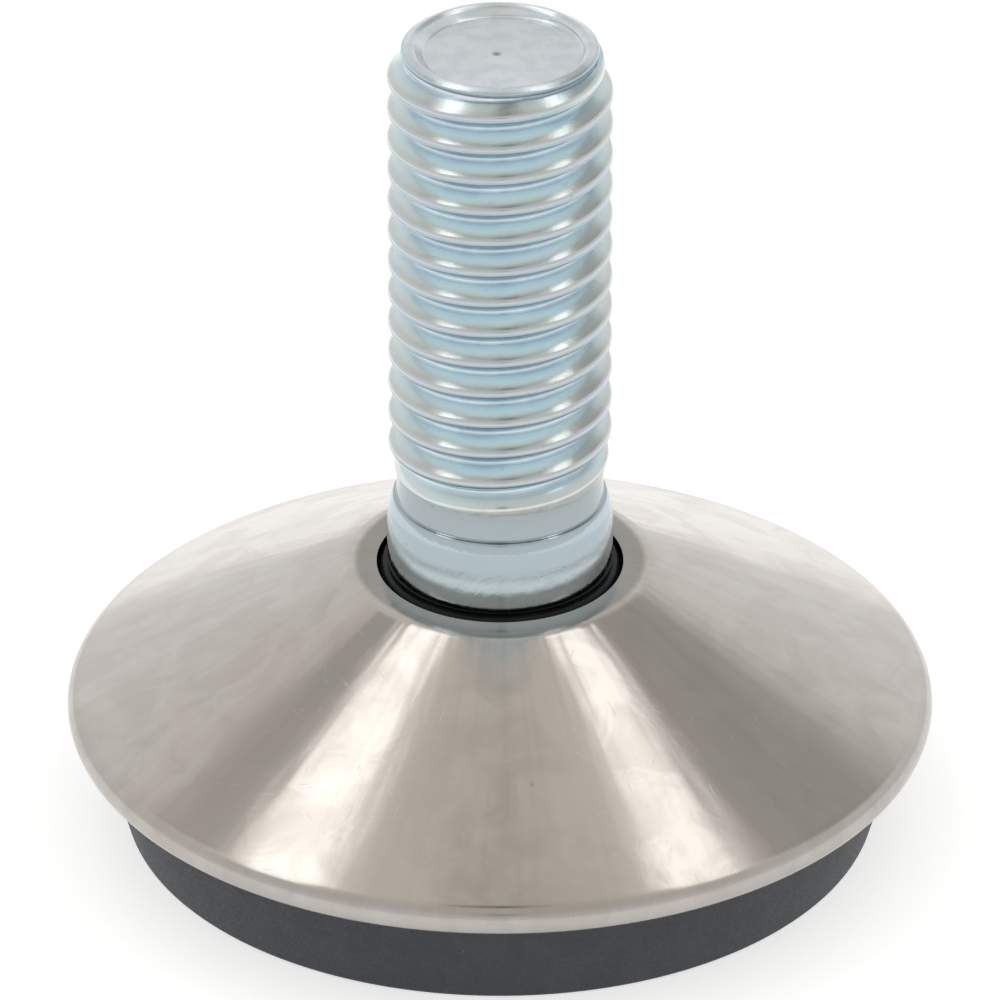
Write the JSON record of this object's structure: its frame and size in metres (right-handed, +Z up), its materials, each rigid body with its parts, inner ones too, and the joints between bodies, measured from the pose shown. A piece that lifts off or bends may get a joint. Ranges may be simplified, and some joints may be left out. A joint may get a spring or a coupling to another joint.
{
  "type": "furniture leveling foot",
  "caption": "Swivelling furniture levelling foot: an M10 threaded stud on a ball joint in a round base with a conical stainless cover and a non-slip pad.",
  "frame": {"origin": "on the floor, at the centre of the foot's underside", "axes": "+Z up along the stud, from the pad to the stud's end; X and Y are level, and the foot is round"},
  "size_m": [0.0384, 0.0384, 0.038],
  "materials": {
    "zinc_steel": "bright zinc plate with a clear blue passivation",
    "spring_steel": "phosphated spring steel",
    "black_plastic": "black moulded nylon",
    "white_plastic": "natural acetal",
    "stainless_sheet": "polished stainless sheet with fine turning lines",
    "slate_rubber": "matt slate grey moulded rubber"
  },
  "bodies": {
    "base": {"base_body": "black_plastic", "steel_cover": "stainless_sheet", "foot_pad": "slate_rubber", "socket_retainer": "black_plastic"},
    "liner": {"socket_liner": "white_plastic"},
    "ball": {"ball_head": "black_plastic"},
    "stud": {"threaded_stud": "zinc_steel", "circlip": "spring_steel"}
  },
  "joints": [
    {"name": "liner_turn", "type": "hinge", "parent": "base", "child": "liner", "pos_m": [0, 0, 0.0084], "axis": [0, 0, 1], "continuous": true},
    {"name": "ball_tilt", "type": "hinge", "parent": "liner", "child": "ball", "pos_m": [0, 0, 0.0084], "axis": [0, 1, 0], "range_deg": [-5, 5]},
    {"name": "stud_spin", "type": "hinge", "parent": "ball", "child": "stud", "pos_m": [0, 0, 0.0084], "axis": [0, 0, 1], "continuous": true}
  ]
}
